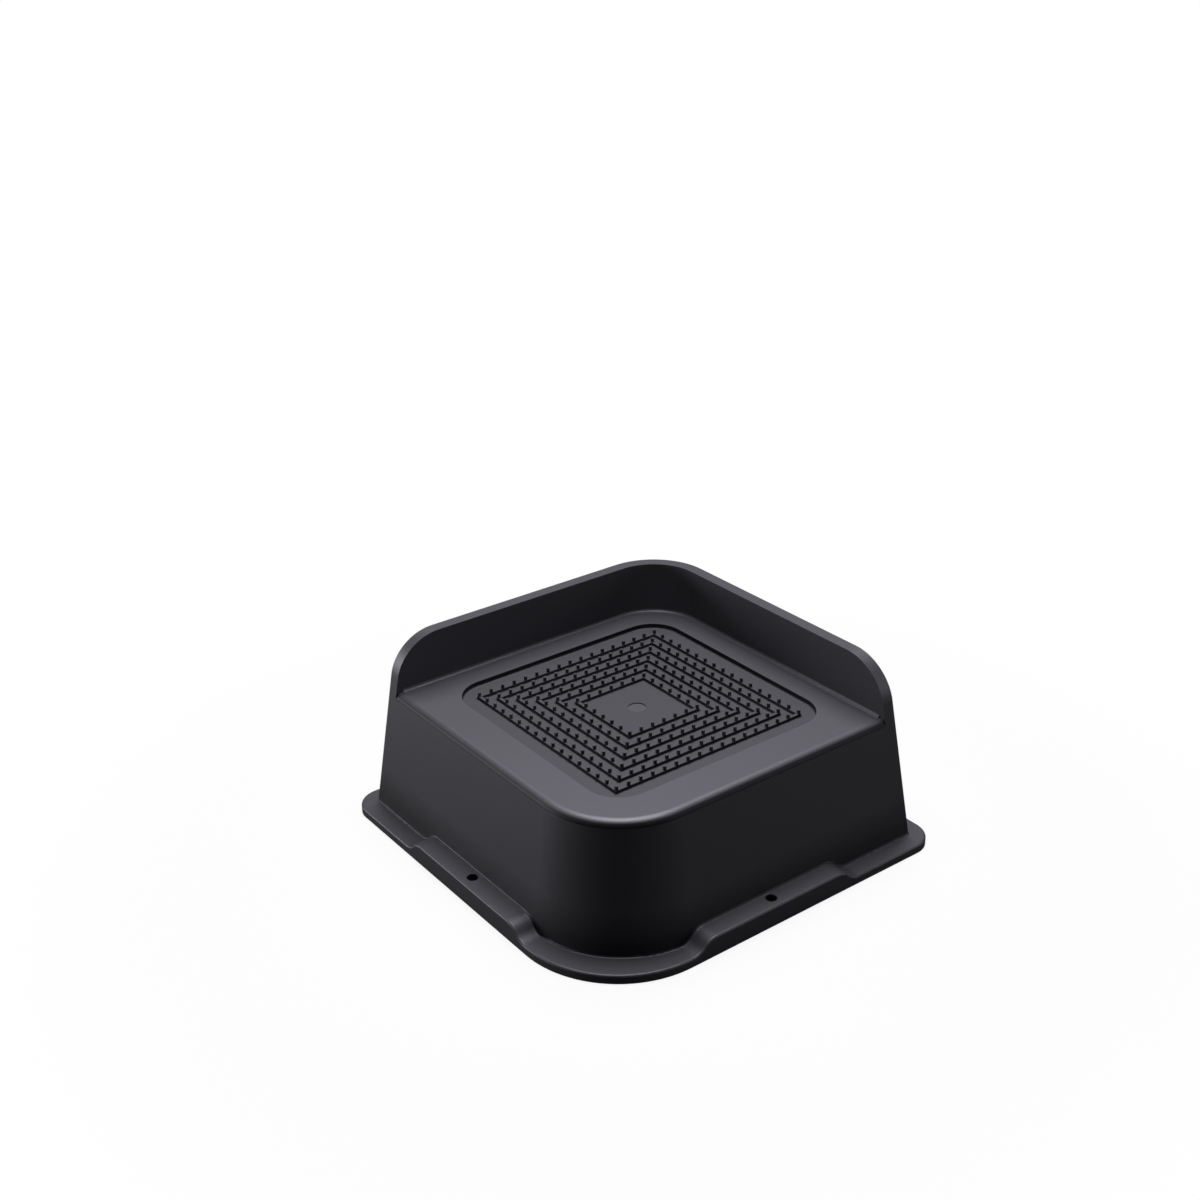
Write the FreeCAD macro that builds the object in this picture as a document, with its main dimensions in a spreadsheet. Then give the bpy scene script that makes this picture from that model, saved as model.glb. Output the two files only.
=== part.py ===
import FreeCAD, Part
import math
import os
import Sketcher

# Bed riser: one black plastic moulding that lifts a furniture leg.
# Frame: millimetres, +Z up, the floor at z = 0 and the middle of the base at x = y = 0.
# The two stop walls stand on the +X and +Y sides; the -X and -Y sides are open.

doc = FreeCAD.newDocument("bed_riser")
vector = FreeCAD.Vector

# Driving dimensions
sheet = doc.addObject("Spreadsheet::Sheet", "Sizes")
SIZES = [
    # Base flange
    ("base_side", 152.0),
    ("flange_thickness", 3.2),
    ("flange_width", 6.75),
    ("flange_side_radius", 10.0),
    ("flange_edge_radius", 0.8),
    # Raised screw land in the middle of each side of the flange
    ("land_height", 7.6),
    ("land_top_length", 54.0),
    ("land_foot_length", 74.0),
    ("land_clearance", 1.0),
    # Hollow body, drafted so that it narrows to the top
    ("body_height", 72.0),
    ("draft_angle", 6.6),
    ("body_front_radius", 36.5),
    ("body_back_radius", 31.5),
    ("body_foot_radius", 0.8),
    ("edge_break_radius", 0.5),
    ("shell_thickness", 3.2),
    ("rib_thickness", 2.5),
    ("rib_spacing", 44.0),
    ("rib_floor_gap", 1.0),
    # Seat with its two stop walls
    ("seat_height", 50.8),
    ("seat_edge_radius", 3.0),
    ("wall_thickness", 4.9),
    ("wall_end_straight", 4.2),
    ("wall_foot_radius", 1.2),
    # Tread recess in the seat
    ("recess_side", 96.0),
    ("recess_corner_radius", 12.5),
    ("recess_depth", 2.0),
    ("recess_floor_radius", 0.8),
    ("tread_floor_thickness", 3.0),
    # Concentric square ribs and the pegs on them
    ("tread_pitch", 5.0),
    ("tread_rib_width", 1.2),
    ("tread_rib_height", 1.0),
    ("peg_diameter", 1.3),
    ("peg_height", 1.5),
    # Round sprue mark in the middle of the tread
    ("sprue_diameter", 6.6),
    ("sprue_depth", 0.4),
    # Screw holes, one in each land
    ("screw_hole_diameter", 4.0),
    ("screw_edge_distance", 4.5),
]
for row, (alias, number) in enumerate(SIZES, start=1):
    sheet.set("A%d" % row, alias)
    sheet.set("B%d" % row, str(number))
    sheet.setAlias("B%d" % row, alias)
doc.recompute()

# How near two lengths are when they count as equal
NEAR = 0.05

# Counts of the tread pattern
RINGS = range(3, 9)
OUTER_RING = max(RINGS)
INNER_RING = min(RINGS)

body = doc.addObject("PartDesign::Body", "riser_body")
body.Label = "riser_body"


def size(alias):
    return float(sheet.get(alias))


def value(expression):
    return float(sheet.evalExpression(expression))


def origin_feature(role):
    return [f for f in body.Origin.OriginFeatures if f.Role == role][0]


def new_sketch(name, plane, height=None):
    sketch = body.newObject("Sketcher::SketchObject", name)
    sketch.AttachmentSupport = [(origin_feature(plane), "")]
    sketch.MapMode = "FlatFace"
    if height is not None:
        sketch.setExpression("AttachmentOffset.Base.z", height)
    return sketch


def bind(sketch, constraint, expression):
    number = sketch.addConstraint(constraint)
    sketch.setExpression("Constraints[%d]" % number, expression)


def add_outline(sketch, low, high, radii=(None, None, None, None)):
    """A square from low to high on both axes; its corners in turn from (low, low), rounded by the radii."""
    near = value(low)
    far = value(high)
    corners = [vector(near, near, 0), vector(far, near, 0), vector(far, far, 0), vector(near, far, 0)]
    steps = [vector(1, 0, 0), vector(0, 1, 0), vector(-1, 0, 0), vector(0, -1, 0)]
    turns = [value(r) if r else 0.0 for r in radii]
    lines = []
    for i in range(4):
        j = (i + 1) % 4
        start = corners[i] + steps[i] * turns[i]
        end = corners[j] - steps[i] * turns[j]
        lines.append(sketch.addGeometry(Part.LineSegment(start, end), False))
    for i in range(4):
        before = lines[i - 1]
        if radii[i] is None:
            sketch.addConstraint(Sketcher.Constraint("Coincident", before, 2, lines[i], 1))
            continue
        centre = corners[i] + (steps[i] - steps[i - 1]) * turns[i]
        circle = Part.Circle(centre, vector(0, 0, 1), turns[i])
        angle = math.pi * (1 + i / 2)
        arc = sketch.addGeometry(Part.ArcOfCircle(circle, angle, angle + math.pi / 2), False)
        sketch.addConstraint(Sketcher.Constraint("Tangent", before, 2, arc, 1))
        sketch.addConstraint(Sketcher.Constraint("Tangent", arc, 2, lines[i], 1))
        bind(sketch, Sketcher.Constraint("Radius", arc, turns[i]), radii[i])
    for i in range(4):
        level = i % 2 == 0
        sketch.addConstraint(Sketcher.Constraint("Horizontal" if level else "Vertical", lines[i]))
        distance = low if i in (0, 3) else high
        kind = "DistanceY" if level else "DistanceX"
        bind(sketch, Sketcher.Constraint(kind, -1, 1, lines[i], 1, value(distance)), distance)


def add_rectangle(sketch, x_low, x_high, y_low, y_high):
    left, right, low, high = [value(e) for e in (x_low, x_high, y_low, y_high)]
    corners = [vector(left, low, 0), vector(right, low, 0), vector(right, high, 0), vector(left, high, 0)]
    lines = []
    for i in range(4):
        lines.append(sketch.addGeometry(Part.LineSegment(corners[i], corners[(i + 1) % 4]), False))
    for i in range(4):
        sketch.addConstraint(Sketcher.Constraint("Coincident", lines[i], 2, lines[(i + 1) % 4], 1))
        level = i % 2 == 0
        sketch.addConstraint(Sketcher.Constraint("Horizontal" if level else "Vertical", lines[i]))
        distance = (y_low, x_high, y_high, x_low)[i]
        kind = "DistanceY" if level else "DistanceX"
        bind(sketch, Sketcher.Constraint(kind, -1, 1, lines[i], 1, value(distance)), distance)


def add_square(sketch, side, radii=(None, None, None, None)):
    half = "(%s) / 2" % side
    add_outline(sketch, "-" + half, half, radii)


def finish(feature):
    doc.recompute()
    if "Invalid" in feature.State or "Error" in feature.State or feature.Shape.isNull():
        raise RuntimeError("%s: %s" % (feature.Name, feature.getStatusString()))
    if not feature.Shape.isValid():
        raise RuntimeError("%s: shape is not valid" % feature.Name)
    print("%-22s volume %.0f" % (feature.Name, feature.Shape.Volume))


def pad(name, sketch, length):
    feature = body.newObject("PartDesign::Pad", name)
    feature.Profile = sketch
    feature.setExpression("Length", length)
    finish(feature)
    return feature


def pocket(name, sketch, length, taper=None):
    """Cuts upward, along the sketch's normal."""
    feature = body.newObject("PartDesign::Pocket", name)
    feature.Profile = sketch
    feature.Reversed = True
    feature.setExpression("Length", length)
    if taper:
        feature.setExpression("TaperAngle", taper)
    finish(feature)
    return feature


def edge_names(feature, wanted):
    names = []
    for number, edge in enumerate(feature.Shape.Edges, start=1):
        middle = edge.valueAt((edge.FirstParameter + edge.LastParameter) / 2)
        if wanted(edge, middle):
            names.append("Edge%d" % number)
    return names


def fillet(name, radius, wanted):
    base = body.Tip
    names = edge_names(base, wanted)
    feature = body.newObject("PartDesign::Fillet", name)
    feature.Base = (base, names)
    feature.setExpression("Radius", radius)
    finish(feature)
    return feature


def draft(name, wanted, hollow=False):
    """Leans the wanted upright faces about the floor, so that an outside or a hollow narrows to the top."""
    base = body.Tip
    names = []
    for number, face in enumerate(base.Shape.Faces, start=1):
        low, high, near, far = face.ParameterRange
        normal = face.normalAt((low + high) / 2, (near + far) / 2)
        if abs(normal.z) < NEAR and wanted(face.BoundBox):
            names.append("Face%d" % number)
    feature = body.newObject("PartDesign::Draft", name)
    feature.Base = (base, names)
    feature.NeutralPlane = (origin_feature("XY_Plane"), [""])
    feature.Reversed = hollow
    feature.setExpression("Angle", "Sizes.draft_angle")
    finish(feature)
    return feature


# Body inside the flange, and the flange's large corners, which start beside the feet of the lands
BODY_SIDE = "(Sizes.base_side - 2 * Sizes.flange_width)"
FLANGE_CORNER = "(Sizes.base_side - Sizes.land_foot_length) / 2 - Sizes.land_clearance"
WALL_END_RADIUS = "Sizes.body_height - Sizes.seat_height - Sizes.wall_end_straight"
SCREW_REACH = "(Sizes.base_side / 2 - Sizes.screw_edge_distance)"

# Half-width of the drafted outside at the seat and at the rim, and of the seat between its stop walls
HALF_AT_SEAT = BODY_SIDE + " / 2 - Sizes.seat_height * tan(Sizes.draft_angle)"
HALF_AT_RIM = BODY_SIDE + " / 2 - Sizes.body_height * tan(Sizes.draft_angle)"
SEAT_REACH = HALF_AT_SEAT + " - Sizes.wall_thickness"
BACK_AT_SEAT = "Sizes.body_back_radius - Sizes.seat_height * tan(Sizes.draft_angle)"
BACK_AT_RIM = "Sizes.body_back_radius - Sizes.body_height * tan(Sizes.draft_angle)"
FRONT_AT_FLANGE = "Sizes.body_front_radius - Sizes.flange_thickness * tan(Sizes.draft_angle)"
SEAT_CORNER = BACK_AT_SEAT + " - Sizes.wall_thickness"
RECESS_FLOOR = "Sizes.seat_height - Sizes.recess_depth"
ROOF = RECESS_FLOOR + " - Sizes.tread_floor_thickness"

# Heights and half-widths that tell the edges apart
RIM_Z = size("body_height")
SEAT_Z = size("seat_height")
FLANGE_Z = size("flange_thickness")
LAND_Z = size("land_height")
RIM_HALF = value(HALF_AT_RIM)
DIAGONAL = math.cos(math.pi / 4)
RIM_CORNER = value(BODY_SIDE) / 2 - size("body_back_radius") + value(BACK_AT_RIM) * DIAGONAL
FOOT_CORNER = value(BODY_SIDE) / 2 - size("body_front_radius") + value(FRONT_AT_FLANGE) * DIAGONAL


def at_back(point):
    return abs(point.x - point.y) < NEAR and point.x > 0


def at_front(point):
    return abs(point.x - point.y) < NEAR and point.x < 0


def at_height(point, z):
    return abs(point.z - z) < NEAR


# Outside of the body
BODY_RADII = ("Sizes.body_front_radius", None, "Sizes.body_back_radius", None)
outside = new_sketch("outside_outline", "XY_Plane")
add_square(outside, BODY_SIDE, BODY_RADII)
pad("outside", outside, "Sizes.body_height")

# Seat, cut down between two stop walls of even thickness that lean with the outside
seat = new_sketch("seat_outline", "XY_Plane", "Sizes.seat_height")
INNER_HALF = BODY_SIDE + " / 2 - Sizes.wall_thickness"
INNER_RADII = (None, None, "Sizes.body_back_radius - Sizes.wall_thickness", None)
add_outline(seat, "-Sizes.base_side", INNER_HALF, INNER_RADII)
pocket("seat", seat, "Sizes.body_height - Sizes.seat_height")
draft("wall_draft",
      lambda box: max(box.XMax, box.YMax) < value(INNER_HALF) + NEAR and box.ZMin > SEAT_Z - NEAR, True)
draft("outside_draft", lambda box: True)

# Free ends of the stop walls, rounded down to the open sides
fillet("wall_ends", WALL_END_RADIUS,
       lambda e, m: at_height(m, RIM_Z) and min(m.x, m.y) < NEAR - RIM_HALF)

# Broken edge that runs up a side corner, over the wall end, along the rim and down the other side
fillet("outer_edge", "Sizes.edge_break_radius",
       lambda e, m: at_back(m) and at_height(m, RIM_Z) and abs(m.x - RIM_CORNER) < NEAR)

# Rounded edge of the seat along the two open sides
fillet("seat_edge", "Sizes.seat_edge_radius", lambda e, m: at_front(m) and at_height(m, SEAT_Z))

# Cove along the foot of the stop walls
FOOT_REACH = "Sizes.wall_foot_radius * tan(45 + Sizes.draft_angle / 2)"
FOOT_START = HALF_AT_SEAT + " - Sizes.seat_edge_radius * tan(45 - Sizes.draft_angle / 2)"
FOOT_MIDDLE = SEAT_REACH + " - " + FOOT_REACH
FOOT_RISE = "Sizes.wall_foot_radius * sin(Sizes.draft_angle)"
FOOT_INSIDE = SEAT_REACH + " + Sizes.wall_foot_radius"
FOOT_BELOW = "Sizes.seat_height - Sizes.wall_foot_radius"


def add_foot_path(sketch):
    """The line where the stop walls meet the seat, from one open side round the back corner to the other."""
    reach = value(SEAT_REACH)
    start = value(FOOT_START)
    turn = value(SEAT_CORNER)
    bend = reach - turn
    first = sketch.addGeometry(Part.LineSegment(vector(reach, -start, 0), vector(reach, bend, 0)), False)
    circle = Part.Circle(vector(bend, bend, 0), vector(0, 0, 1), turn)
    corner = sketch.addGeometry(Part.ArcOfCircle(circle, 0, math.pi / 2), False)
    last = sketch.addGeometry(Part.LineSegment(vector(bend, reach, 0), vector(-start, reach, 0)), False)
    sketch.addConstraint(Sketcher.Constraint("Vertical", first))
    sketch.addConstraint(Sketcher.Constraint("Horizontal", last))
    sketch.addConstraint(Sketcher.Constraint("Tangent", first, 2, corner, 1))
    sketch.addConstraint(Sketcher.Constraint("Tangent", corner, 2, last, 1))
    bind(sketch, Sketcher.Constraint("Radius", corner, turn), SEAT_CORNER)
    bind(sketch, Sketcher.Constraint("DistanceX", -1, 1, first, 1, reach), SEAT_REACH)
    bind(sketch, Sketcher.Constraint("DistanceY", first, 1, -1, 1, start), FOOT_START)
    bind(sketch, Sketcher.Constraint("DistanceY", -1, 1, last, 2, reach), SEAT_REACH)
    bind(sketch, Sketcher.Constraint("DistanceX", last, 2, -1, 1, start), FOOT_START)


def add_foot_profile(sketch):
    """Section of the cove: an arc that touches the seat and the leaning wall, closed inside the plastic."""
    radius = size("wall_foot_radius")
    lean = math.radians(size("draft_angle"))
    low = vector(value(FOOT_MIDDLE), SEAT_Z, 0)
    middle = low + vector(0, radius, 0)
    high = middle + vector(radius * math.cos(lean), radius * math.sin(lean), 0)
    inside = vector(value(FOOT_INSIDE), value(FOOT_BELOW), 0)
    circle = Part.Circle(middle, vector(0, 0, 1), radius)
    cove = sketch.addGeometry(Part.ArcOfCircle(circle, -math.pi / 2, lean), False)
    wall_side = sketch.addGeometry(Part.LineSegment(high, inside), False)
    seat_side = sketch.addGeometry(Part.LineSegment(inside, low), False)
    sketch.addConstraint(Sketcher.Constraint("Coincident", cove, 2, wall_side, 1))
    sketch.addConstraint(Sketcher.Constraint("Coincident", wall_side, 2, seat_side, 1))
    sketch.addConstraint(Sketcher.Constraint("Coincident", seat_side, 2, cove, 1))
    sketch.addConstraint(Sketcher.Constraint("Vertical", cove, 1, cove, 3))
    bind(sketch, Sketcher.Constraint("Radius", cove, radius), "Sizes.wall_foot_radius")
    bind(sketch, Sketcher.Constraint("DistanceX", -1, 1, cove, 1, low.x), FOOT_MIDDLE)
    bind(sketch, Sketcher.Constraint("DistanceY", -1, 1, cove, 1, low.y), "Sizes.seat_height")
    bind(sketch, Sketcher.Constraint("DistanceY", cove, 3, cove, 2, high.y - middle.y), FOOT_RISE)
    bind(sketch, Sketcher.Constraint("DistanceX", -1, 1, wall_side, 2, inside.x), FOOT_INSIDE)
    bind(sketch, Sketcher.Constraint("DistanceY", -1, 1, wall_side, 2, inside.y), FOOT_BELOW)


foot_path = new_sketch("wall_foot_path", "XY_Plane", "Sizes.seat_height")
add_foot_path(foot_path)
foot_profile = new_sketch("wall_foot_profile", "XZ_Plane", FOOT_START)
add_foot_profile(foot_profile)
foot = body.newObject("PartDesign::AdditivePipe", "wall_foot")
foot.Profile = foot_profile
foot.Spine = (foot_path, ["Edge1", "Edge2", "Edge3"])
finish(foot)

# Tread recess
recess = new_sketch("recess_outline", "XY_Plane", RECESS_FLOOR)
add_square(recess, "Sizes.recess_side", ["Sizes.recess_corner_radius"] * 4)
pocket("recess", recess, "Sizes.recess_depth")
fillet("recess_floor", "Sizes.recess_floor_radius",
       lambda e, m: at_height(m, SEAT_Z - size("recess_depth")) and at_front(m))

# Base flange with a raised land in the middle of each side
FLANGE_RADII = (FLANGE_CORNER, "Sizes.flange_side_radius", FLANGE_CORNER, "Sizes.flange_side_radius")
flange = new_sketch("flange_outline", "XY_Plane")
add_square(flange, "Sizes.base_side", FLANGE_RADII)
pad("flange", flange, "Sizes.flange_thickness")


def add_land_profile(sketch):
    """Side view of a land: a flat top between two ramps, each of two equal arcs."""
    foot = size("land_foot_length") / 2
    top = size("land_top_length") / 2
    low = size("flange_thickness")
    high = size("land_height")
    run = foot - top
    rise = high - low
    turn = (run * run + rise * rise) / (4 * rise)
    sweep = math.asin(run / 2 / turn)
    up = math.pi / 2
    down = 3 * math.pi / 2

    def arc(x, z, start, end):
        circle = Part.Circle(vector(x, z, 0), vector(0, 0, 1), turn)
        return sketch.addGeometry(Part.ArcOfCircle(circle, start, end), False)

    def line(x1, z1, x2, z2):
        return sketch.addGeometry(Part.LineSegment(vector(x1, z1, 0), vector(x2, z2, 0)), False)

    floor = line(-foot, 0, foot, 0)
    right = line(foot, 0, foot, low)
    right_foot = arc(foot, low + turn, down - sweep, down)
    right_top = arc(top, high - turn, up - sweep, up)
    flat = line(top, high, -top, high)
    left_top = arc(-top, high - turn, up, up + sweep)
    left_foot = arc(-foot, low + turn, down, down + sweep)
    left = line(-foot, low, -foot, 0)
    joints = [("Coincident", floor, 2, right, 1), ("Perpendicular", right, 2, right_foot, 2),
              ("Tangent", right_foot, 1, right_top, 1), ("Tangent", right_top, 2, flat, 1),
              ("Tangent", flat, 2, left_top, 1), ("Tangent", left_top, 2, left_foot, 2),
              ("Perpendicular", left_foot, 1, left, 1), ("Coincident", left, 2, floor, 1)]
    for joint in joints:
        sketch.addConstraint(Sketcher.Constraint(*joint))
    sketch.addConstraint(Sketcher.Constraint("Horizontal", floor))
    sketch.addConstraint(Sketcher.Constraint("Vertical", right))
    sketch.addConstraint(Sketcher.Constraint("Vertical", left))
    sketch.addConstraint(Sketcher.Constraint("Symmetric", floor, 1, floor, 2, -1, 1))
    sketch.addConstraint(Sketcher.Constraint("Symmetric", flat, 1, flat, 2, -2))
    sketch.addConstraint(Sketcher.Constraint("Equal", right_foot, right_top))
    bind(sketch, Sketcher.Constraint("DistanceX", floor, 1, floor, 2, 2 * foot), "Sizes.land_foot_length")
    bind(sketch, Sketcher.Constraint("DistanceX", flat, 2, flat, 1, 2 * top), "Sizes.land_top_length")
    bind(sketch, Sketcher.Constraint("DistanceY", right, 1, right, 2, low), "Sizes.flange_thickness")
    bind(sketch, Sketcher.Constraint("DistanceY", left, 2, left, 1, low), "Sizes.flange_thickness")
    bind(sketch, Sketcher.Constraint("DistanceY", floor, 2, flat, 1, high), "Sizes.land_height")


for axis, plane in (("x", "YZ_Plane"), ("y", "XZ_Plane")):
    profile = new_sketch("land_profile_" + axis, plane)
    add_land_profile(profile)
    land = body.newObject("PartDesign::Pad", "lands_" + axis)
    land.Profile = profile
    land.SideType = "Symmetric"
    land.setExpression("Length", "Sizes.base_side")
    finish(land)

fillet("body_foot", "Sizes.body_foot_radius",
       lambda e, m: at_front(m) and at_height(m, FLANGE_Z) and abs(m.x + FOOT_CORNER) < NEAR)
fillet("flange_edge", "Sizes.flange_edge_radius",
       lambda e, m: at_height(m, LAND_Z) and max(abs(m.x), abs(m.y)) > size("base_side") / 2 - NEAR)

# Hollow underside: drafted cavity, and pockets that run out under the lands
CAVITY_SIDE = BODY_SIDE + " - 2 * Sizes.shell_thickness"
CAVITY_RADII = ("Sizes.body_front_radius - Sizes.shell_thickness", None,
                "Sizes.body_back_radius - Sizes.shell_thickness", None)
cavity = new_sketch("cavity_outline", "XY_Plane")
add_square(cavity, CAVITY_SIDE, CAVITY_RADII)
pocket("cavity", cavity, ROOF, "-Sizes.draft_angle")

REACH = "(Sizes.base_side / 2 - Sizes.shell_thickness)"
BREADTH = "(Sizes.land_top_length / 2 - Sizes.shell_thickness)"
for axis, across, along in (("x", REACH, BREADTH), ("y", BREADTH, REACH)):
    outline = new_sketch("land_pocket_outline_" + axis, "XY_Plane")
    add_rectangle(outline, "-" + across, across, "-" + along, along)
    pocket("land_pockets_" + axis, outline, "Sizes.land_height - Sizes.shell_thickness")

# Crossed ribs under the seat, from just above the floor; their ends sink into the drafted sides
RIB_TOP = ROOF + " + Sizes.tread_floor_thickness / 2"
RIB_REACH = BODY_SIDE + " - Sizes.shell_thickness"
RIB_FOOT_LENGTH = RIB_REACH + " - 2 * Sizes.rib_floor_gap * tan(Sizes.draft_angle)"
RIB_TOP_LENGTH = RIB_REACH + " - 2 * (%s) * tan(Sizes.draft_angle)" % RIB_TOP


def add_rib_profile(sketch):
    foot = value(RIB_FOOT_LENGTH) / 2
    top = value(RIB_TOP_LENGTH) / 2
    low = size("rib_floor_gap")
    high = value(RIB_TOP)
    points = [vector(-foot, low, 0), vector(foot, low, 0), vector(top, high, 0), vector(-top, high, 0)]
    for i in range(4):
        sketch.addGeometry(Part.LineSegment(points[i], points[(i + 1) % 4]), False)
    for i in range(4):
        sketch.addConstraint(Sketcher.Constraint("Coincident", i, 2, (i + 1) % 4, 1))
    for i in (0, 2):
        sketch.addConstraint(Sketcher.Constraint("Symmetric", i, 1, i, 2, -2))
    bind(sketch, Sketcher.Constraint("DistanceX", 0, 1, 0, 2, 2 * foot), RIB_FOOT_LENGTH)
    bind(sketch, Sketcher.Constraint("DistanceX", 2, 2, 2, 1, 2 * top), RIB_TOP_LENGTH)
    bind(sketch, Sketcher.Constraint("DistanceY", -1, 1, 0, 1, low), "Sizes.rib_floor_gap")
    bind(sketch, Sketcher.Constraint("DistanceY", -1, 1, 2, 1, high), RIB_TOP)


for axis, plane in (("x", "XZ_Plane"), ("y", "YZ_Plane")):
    for side, sign in (("low", "-"), ("high", "")):
        profile = new_sketch("rib_profile_%s_%s" % (axis, side), plane, sign + "Sizes.rib_spacing / 2")
        add_rib_profile(profile)
        rib = body.newObject("PartDesign::Pad", "rib_%s_%s" % (axis, side))
        rib.Profile = profile
        rib.SideType = "Symmetric"
        rib.setExpression("Length", "Sizes.rib_thickness")
        finish(rib)

# Screw holes
holes = new_sketch("screw_hole_circles", "XY_Plane")
hole_reach = value(SCREW_REACH)
for x, y in ((1, 0), (0, 1), (-1, 0), (0, -1)):
    centre = vector(x * hole_reach, y * hole_reach, 0)
    bore = size("screw_hole_diameter")
    circle = holes.addGeometry(Part.Circle(centre, vector(0, 0, 1), bore / 2), False)
    bind(holes, Sketcher.Constraint("Diameter", circle, bore), "Sizes.screw_hole_diameter")
    across = "%d * %s" % (x, SCREW_REACH)
    along = "%d * %s" % (y, SCREW_REACH)
    bind(holes, Sketcher.Constraint("DistanceX", -1, 1, circle, 3, centre.x), across)
    bind(holes, Sketcher.Constraint("DistanceY", -1, 1, circle, 3, centre.y), along)
pocket("screw_holes", holes, "Sizes.land_height + Sizes.shell_thickness")

# Sprue mark
sprue = new_sketch("sprue_circle", "XY_Plane", RECESS_FLOOR + " - Sizes.sprue_depth")
mark = sprue.addGeometry(Part.Circle(vector(0, 0, 0), vector(0, 0, 1), size("sprue_diameter") / 2), False)
sprue.addConstraint(Sketcher.Constraint("Coincident", mark, 3, -1, 1))
bind(sprue, Sketcher.Constraint("Diameter", mark, size("sprue_diameter")), "Sizes.sprue_diameter")
pocket("sprue_mark", sprue, "Sizes.sprue_depth")

# Concentric square ribs of the tread
rings = new_sketch("tread_rings", "XY_Plane", RECESS_FLOOR)
for ring in RINGS:
    middle_line = "2 * %d * Sizes.tread_pitch" % ring
    add_square(rings, middle_line + " + Sizes.tread_rib_width")
    add_square(rings, middle_line + " - Sizes.tread_rib_width")
pad("tread_ribs", rings, "Sizes.tread_rib_height")

# Pegs, one at each crossing of the tread grid: a block of them beside one rib, turned to all four sides
peg = body.newObject("PartDesign::AdditivePrism", "peg")
peg.AttachmentSupport = [(origin_feature("XY_Plane"), "")]
peg.MapMode = "FlatFace"
peg.Polygon = 6
peg.setExpression("AttachmentOffset.Base.x", "-%d * Sizes.tread_pitch" % OUTER_RING)
peg.setExpression("AttachmentOffset.Base.y", "%d * Sizes.tread_pitch" % INNER_RING)
peg.setExpression("AttachmentOffset.Base.z", RECESS_FLOOR)
peg.setExpression("Circumradius", "Sizes.peg_diameter / 2")
peg.setExpression("Height", "Sizes.tread_rib_height + Sizes.peg_height")
finish(peg)
pegs = body.newObject("PartDesign::MultiTransform", "pegs")
pegs.Originals = [peg]
steps = []
ROWS = (("pegs_along", "X_Axis", OUTER_RING + INNER_RING), ("pegs_across", "Y_Axis", len(RINGS)))
for name, role, count in ROWS:
    row = body.newObject("PartDesign::LinearPattern", name)
    row.Direction = (origin_feature(role), [""])
    row.Occurrences = count
    row.setExpression("Length", "%d * Sizes.tread_pitch" % (count - 1))
    steps.append(row)
turn = body.newObject("PartDesign::PolarPattern", "pegs_round")
turn.Axis = (origin_feature("Z_Axis"), [""])
turn.Angle = 360
turn.Occurrences = 4
steps.append(turn)
pegs.Transformations = steps
body.Tip = pegs
finish(pegs)

shape = body.Shape
if shape.isNull() or not shape.isValid() or len(shape.Solids) != 1:
    raise RuntimeError("the riser is not one valid solid")
os.makedirs("parts", exist_ok=True)
shape.exportStep("parts/%s.step" % body.Label)
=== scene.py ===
"""Studio picture of a moulded bed riser, seen from the corner where its seat is open."""
import math

import bpy
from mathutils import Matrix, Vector

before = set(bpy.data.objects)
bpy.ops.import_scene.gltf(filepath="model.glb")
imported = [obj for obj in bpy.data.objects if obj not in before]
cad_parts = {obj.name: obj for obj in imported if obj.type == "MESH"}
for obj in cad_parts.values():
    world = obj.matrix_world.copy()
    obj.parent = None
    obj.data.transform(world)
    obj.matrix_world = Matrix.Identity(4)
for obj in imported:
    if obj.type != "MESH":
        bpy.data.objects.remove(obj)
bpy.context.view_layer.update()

# Camera, in metres and degrees
CAMERA_PLACE = (-0.3115, -0.3977, 0.3309)
CAMERA_TURN = (64.576, 0.876, -37.077)
LENS_MM = 49.1
SENSOR_MM = 36.0

# Black plastic; all lengths on the riser are in metres
PLASTIC_COLOUR = (0.030, 0.029, 0.0345, 1.0)
PLASTIC_SHEEN = (0.97, 0.95, 1.09, 1.0)
PLASTIC_SPECULAR = 0.5
PLASTIC_ROUGHNESS = 0.5
GRAIN_SIZE = 0.0004
GRAIN_DETAIL = 2.0
GRAIN_DEPTH = 0.00003

# Painted shade: a darker, less shiny colour put on places where shade falls
PAINTED_SHADE_COLOUR = (0.007, 0.007, 0.009, 1.0)
PAINTED_SHADE_SPECULAR = 0.15
SHORT_FADE = 0.0004

# Tread in the seat, with a coarser grain
TREAD_COLOUR = (0.014, 0.0135, 0.016, 1.0)
TREAD_ROUGHNESS = 0.68
TREAD_GRAIN_DEPTH = 0.00006
RECESS_HALF = 0.048
RINGS_HALF = 0.0425
TREAD_LOW = 0.046
SEAT_LEVEL = 0.0507
SPRUE_RADIUS = 0.0033

# Painted shadow: strips of the tread's floor along the feet of its ribs, darkened where the ribs shade it
STRIP_LEVEL = 0.0491
STRIP_INNER = 0.0125
STRIP_PITCH = 0.005
STRIP_HALF = 0.0013

# Painted shade: dark band on the rounded open edges of the seat, in place of the dark reflection on the
# rounding
EDGE_LOW = 0.0480
EDGE_HIGH = 0.0503
EDGE_FADE = 0.0006
EDGE_INNER = 0.0495
EDGE_END = 0.0586

# Painted shade on the upright wall of the recess, where the normal's upward part is small
RECESS_WALL_LOW = 0.0489
UPRIGHT = 0.6

# Painted shade on the foot of the drafted body, above the flange and the lands
FOOT_LOW = 0.0034
FOOT_HIGH = 0.019
FOOT_FADE = 0.013
FOOT_SHARE = 0.75
BODY_HALF = 0.06925
BODY_LEAN = math.tan(math.radians(6.6))

# Sockets of a colour mix
COLOUR_A = 6
COLOUR_B = 7
COLOUR_RESULT = 2

# Floor: brightness near the riser, and the distances between which it rises to white
FLOOR_RADIUS = 0.9
FLOOR_SIDES = 128
FLOOR_LEVEL = -0.0002
FLOOR_COLOUR = (0.05, 0.05, 0.05, 1.0)
FLOOR_SEEN = 0.90
FLOOR_PLAIN = 0.14
FLOOR_WHITE = 0.42

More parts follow.
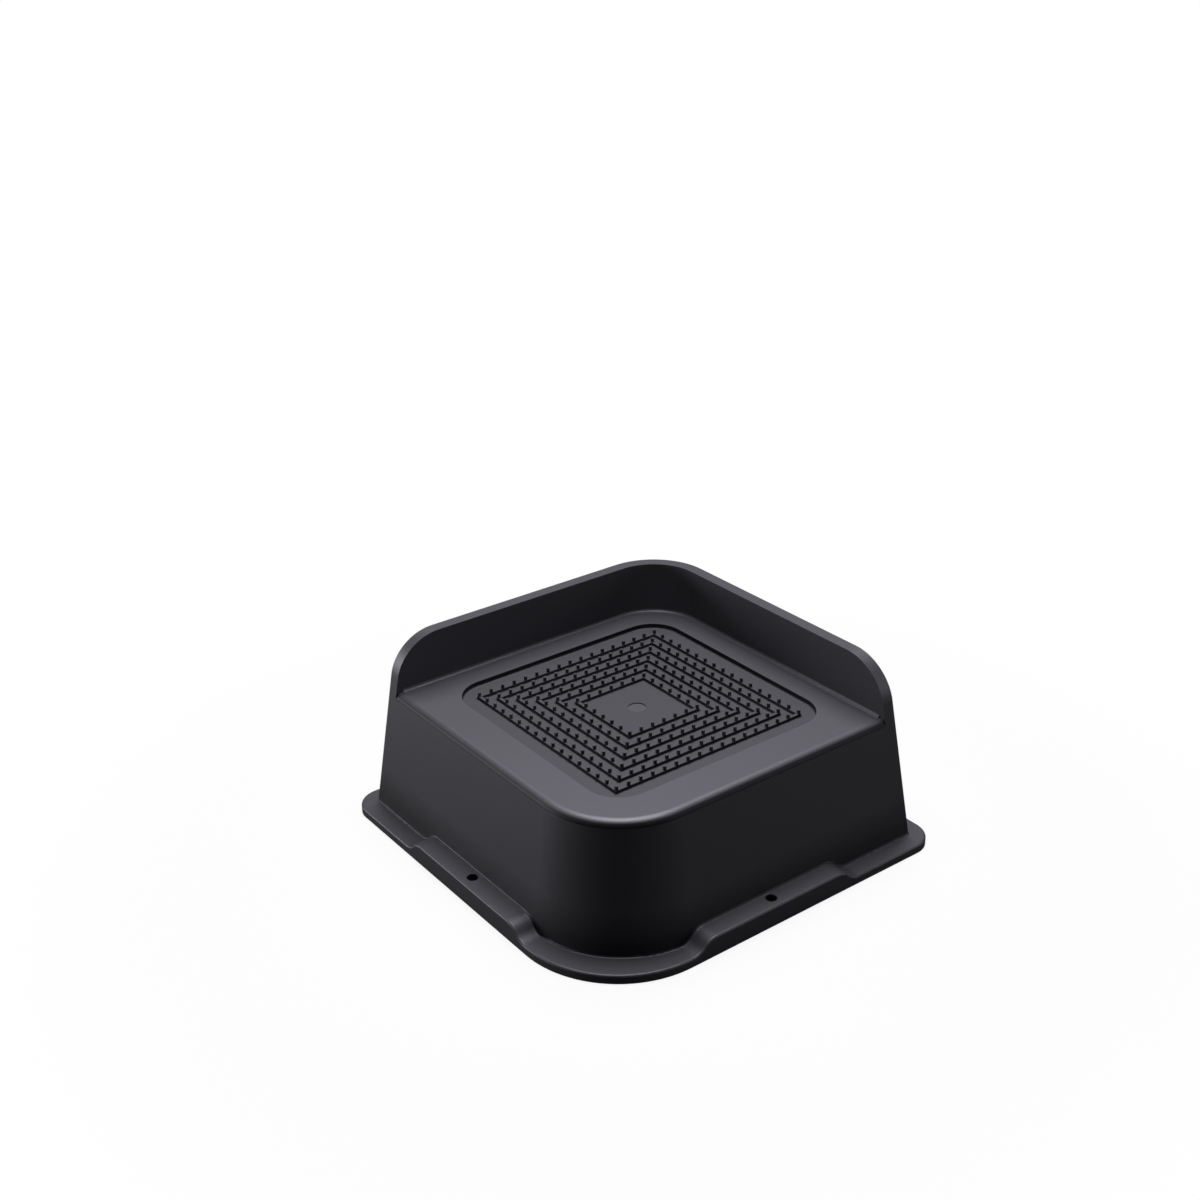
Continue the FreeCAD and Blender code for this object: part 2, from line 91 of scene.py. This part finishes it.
# Surroundings and soft boxes: name, place, side length in metres, power in watts
WHITE = (1.0, 1.0, 1.0, 1.0)
WORLD_LEVEL = 0.025
AIM = (0.0, 0.0, 0.03)
SOFT_BOXES = (
    ("key", (0.32, 0.36, 1.45), 0.8, 22.0),
    ("top", (0.0, 0.0, 0.41), 0.18, 1.75),
    ("left", (-1.2, 1.15, 0.1), 0.8, 26.0),
    ("right", (1.15, -1.2, 0.3), 0.6, 4.4),
)


def link(obj):
    bpy.context.scene.collection.objects.link(obj)
    return obj


def new_material(name):
    material = bpy.data.materials.new(name)
    material.use_nodes = True
    return material, material.node_tree.nodes, material.node_tree.links


def maths(material, operation, *terms):
    """Result of one operation on sockets and plain numbers."""
    node = material.node_tree.nodes.new("ShaderNodeMath")
    node.operation = operation
    for socket, term in zip(node.inputs, terms):
        if isinstance(term, float):
            socket.default_value = term
        else:
            material.node_tree.links.new(term, socket)
    return node.outputs["Value"]


def axes_of(material, vector):
    node = material.node_tree.nodes.new("ShaderNodeSeparateXYZ")
    material.node_tree.links.new(vector, node.inputs["Vector"])
    return node.outputs


def within(material, value, low, high, fade):
    """1 where the value lies between low and high, falling to 0 at these limits over the fade length."""
    middle = (low + high) / 2
    off_middle = maths(material, "ABSOLUTE", maths(material, "SUBTRACT", value, middle))
    inside = maths(material, "SUBTRACT", (high - low) / 2, off_middle)
    ramp = material.node_tree.nodes.new("ShaderNodeMapRange")
    ramp.inputs["From Max"].default_value = fade
    material.node_tree.links.new(inside, ramp.inputs["Value"])
    return ramp.outputs["Result"]


def tread_share(material, x, y, z, reach):
    """1 on the floor, ribs and pegs of the tread; 0 elsewhere and on the smooth sprue mark in its middle."""
    in_rings = maths(material, "LESS_THAN", reach, RINGS_HALF)
    in_recess = maths(material, "LESS_THAN", reach, RECESS_HALF)
    sunk = maths(material, "MULTIPLY", in_recess, maths(material, "LESS_THAN", z, SEAT_LEVEL))
    on_top = maths(material, "GREATER_THAN", z, TREAD_LOW)
    tread = maths(material, "MULTIPLY", maths(material, "MAXIMUM", in_rings, sunk), on_top)
    squares = maths(material, "ADD", maths(material, "MULTIPLY", x, x), maths(material, "MULTIPLY", y, y))
    return maths(material, "MULTIPLY", tread, maths(material, "GREATER_THAN", squares, SPRUE_RADIUS ** 2))


def rib_shadow_share(material, z, reach):
    """Painted shadow of the ribs: 1 on the tread's floor along the feet of the square ribs, which lie one
    pitch apart; 0 elsewhere.
    """
    off_rib = maths(material, "PINGPONG", reach, STRIP_PITCH / 2)
    beside_rib = within(material, off_rib, -STRIP_HALF, STRIP_HALF, SHORT_FADE)
    in_rings = within(material, reach, STRIP_INNER, RINGS_HALF, SHORT_FADE)
    on_floor = within(material, z, TREAD_LOW, STRIP_LEVEL, SHORT_FADE / 2)
    return maths(material, "MULTIPLY", maths(material, "MULTIPLY", beside_rib, in_rings), on_floor)


def edge_shade_share(material, x, y, z):
    """Painted shade: 1 on the rounded edge between the seat and the open sides, fading out above and below;
    0 elsewhere.
    """
    open_side = maths(material, "LESS_THAN", maths(material, "MINIMUM", x, y), -EDGE_INNER)
    off_walls = maths(material, "LESS_THAN", maths(material, "MAXIMUM", x, y), EDGE_END)
    at_edge = maths(material, "MULTIPLY", open_side, off_walls)
    return maths(material, "MULTIPLY", within(material, z, EDGE_LOW, EDGE_HIGH, EDGE_FADE), at_edge)


def recess_wall_shade_share(material, z, reach, rise):
    """Painted shade: 1 on the upright wall around the tread's recess; rise is the upward part of the
    surface's normal.
    """
    margin = within(material, reach, RINGS_HALF, RECESS_HALF + SHORT_FADE, SHORT_FADE / 2)
    on_wall = maths(material, "MULTIPLY", margin, maths(material, "LESS_THAN", rise, UPRIGHT))
    sunk = within(material, z, RECESS_WALL_LOW, SEAT_LEVEL, SHORT_FADE / 2)
    return maths(material, "MULTIPLY", on_wall, sunk)


def foot_shade_share(material, z, reach):
    """Painted shade on the body's side, most at the foot by the flange; 0 on the flange and the lands."""
    body_half = maths(material, "MULTIPLY_ADD", z, -BODY_LEAN, BODY_HALF + SHORT_FADE)
    on_body = maths(material, "MULTIPLY", maths(material, "LESS_THAN", reach, body_half),
                    maths(material, "GREATER_THAN", z, FOOT_LOW))
    low = within(material, z, -FOOT_HIGH, FOOT_HIGH, FOOT_FADE)
    return maths(material, "MULTIPLY", maths(material, "MULTIPLY", low, on_body), FOOT_SHARE)


def colour_mix(material, share, first, second):
    """The first colour where the share is 0 and the second where it is 1; either may be a socket."""
    node = material.node_tree.nodes.new("ShaderNodeMix")
    node.data_type = "RGBA"
    material.node_tree.links.new(share, node.inputs["Factor"])
    for number, colour in ((COLOUR_A, first), (COLOUR_B, second)):
        if isinstance(colour, tuple):
            node.inputs[number].default_value = colour
        else:
            material.node_tree.links.new(colour, node.inputs[number])
    return node.outputs[COLOUR_RESULT]


def share_range(material, share, low, high):
    """A number that goes from low, where the share is 0, to high, where it is 1."""
    return maths(material, "MULTIPLY_ADD", share, high - low, low)


def black_plastic():
    """Satin black moulded plastic with the fine grain of an eroded mould, coarser on the tread, and painted
    shade on the seat's rounded edges, the rib feet, the recess wall and the body's foot.
    """
    material, nodes, links = new_material("black_plastic")
    surface = nodes["Principled BSDF"]
    surface.inputs["Specular Tint"].default_value = PLASTIC_SHEEN
    coordinates = nodes.new("ShaderNodeTexCoord")
    place = coordinates.outputs["Object"]
    x, y, z = axes_of(material, place)
    rise = axes_of(material, coordinates.outputs["Normal"])[2]
    reach = maths(material, "MAXIMUM", maths(material, "ABSOLUTE", x), maths(material, "ABSOLUTE", y))
    tread = tread_share(material, x, y, z, reach)
    # Painted shade: darker, less shiny colour on the seat's rounded edges, the rib feet, the recess wall and
    # the body's foot
    painted_shade = edge_shade_share(material, x, y, z)
    for share in (rib_shadow_share(material, z, reach), recess_wall_shade_share(material, z, reach, rise),
                  foot_shade_share(material, z, reach)):
        painted_shade = maths(material, "MAXIMUM", painted_shade, share)

    colour = colour_mix(material, tread, PLASTIC_COLOUR, TREAD_COLOUR)
    links.new(colour_mix(material, painted_shade, colour, PAINTED_SHADE_COLOUR), surface.inputs["Base Color"])
    specular = share_range(material, painted_shade, PLASTIC_SPECULAR, PAINTED_SHADE_SPECULAR)
    links.new(specular, surface.inputs["Specular IOR Level"])
    roughness = share_range(material, tread, PLASTIC_ROUGHNESS, TREAD_ROUGHNESS)
    links.new(roughness, surface.inputs["Roughness"])

    grain = nodes.new("ShaderNodeTexNoise")
    grain.inputs["Scale"].default_value = 1.0 / GRAIN_SIZE
    grain.inputs["Detail"].default_value = GRAIN_DETAIL
    links.new(place, grain.inputs["Vector"])
    bump = nodes.new("ShaderNodeBump")
    bump.inputs["Strength"].default_value = 1.0
    links.new(share_range(material, tread, GRAIN_DEPTH, TREAD_GRAIN_DEPTH), bump.inputs["Distance"])
    links.new(grain.outputs["Fac"], bump.inputs["Height"])
    links.new(bump.outputs["Normal"], surface.inputs["Normal"])
    return material


def floor_paper():
    """Pale matt paper that the camera sees as near white, rising to white away from the riser."""
    material, nodes, links = new_material("floor_paper")
    paper = nodes["Principled BSDF"]
    paper.inputs["Base Color"].default_value = FLOOR_COLOUR
    paper.inputs["Roughness"].default_value = 1.0
    paper.inputs["Specular IOR Level"].default_value = 0.0
    paper.inputs["Emission Color"].default_value = WHITE
    distance = nodes.new("ShaderNodeVectorMath")
    distance.operation = "LENGTH"
    links.new(nodes.new("ShaderNodeTexCoord").outputs["Object"], distance.inputs[0])
    brightness = nodes.new("ShaderNodeMapRange")
    brightness.interpolation_type = "SMOOTHSTEP"
    brightness.inputs["From Min"].default_value = FLOOR_PLAIN
    brightness.inputs["From Max"].default_value = FLOOR_WHITE
    brightness.inputs["To Min"].default_value = FLOOR_SEEN
    brightness.inputs["To Max"].default_value = 1.0
    links.new(distance.outputs["Value"], brightness.inputs["Value"])
    path = nodes.new("ShaderNodeLightPath")
    seen = maths(material, "MULTIPLY", path.outputs["Is Camera Ray"], brightness.outputs["Result"])
    links.new(seen, paper.inputs["Emission Strength"])
    side = nodes.new("ShaderNodeNewGeometry")
    links.new(maths(material, "SUBTRACT", 1.0, side.outputs["Backfacing"]), paper.inputs["Alpha"])
    return material


def plain_floor():
    """Round floor just under the riser, which takes its soft shadow and is clear from below."""
    bpy.ops.mesh.primitive_circle_add(vertices=FLOOR_SIDES, radius=FLOOR_RADIUS, fill_type="NGON")
    floor = bpy.context.object
    floor.name = "floor"
    floor.location.z = FLOOR_LEVEL
    floor.data.materials.append(floor_paper())


def soft_box(name, place, size, power):
    """Square soft box that faces the riser and stays out of the picture."""
    light = bpy.data.lights.new(name, "AREA")
    light.shape = "SQUARE"
    light.size = size
    light.energy = power
    box = link(bpy.data.objects.new(name, light))
    box.location = place
    box.rotation_euler = (Vector(AIM) - Vector(place)).to_track_quat("-Z", "Y").to_euler()
    box.visible_camera = False


def studio_world():
    """Even grey surroundings, which the camera sees as white."""
    world = bpy.data.worlds.new("studio")
    bpy.context.scene.world = world
    world.use_nodes = True
    nodes = world.node_tree.nodes
    links = world.node_tree.links
    around = nodes["Background"]
    around.inputs["Color"].default_value = WHITE
    path = nodes.new("ShaderNodeLightPath")
    level = nodes.new("ShaderNodeMapRange")
    level.inputs["To Min"].default_value = WORLD_LEVEL
    level.inputs["To Max"].default_value = 1.0
    links.new(path.outputs["Is Camera Ray"], level.inputs["Value"])
    links.new(level.outputs["Result"], around.inputs["Strength"])


def camera():
    data = bpy.data.cameras.new("camera")
    data.lens = LENS_MM
    data.sensor_width = SENSOR_MM
    obj = link(bpy.data.objects.new("camera", data))
    obj.location = CAMERA_PLACE
    obj.rotation_euler = [math.radians(angle) for angle in CAMERA_TURN]
    bpy.context.scene.camera = obj


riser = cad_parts["riser_body"]
riser.data.materials.clear()
riser.data.materials.append(black_plastic())
plain_floor()
studio_world()
for box in SOFT_BOXES:
    soft_box(*box)
camera()
bpy.context.scene.view_settings.view_transform = "Standard"
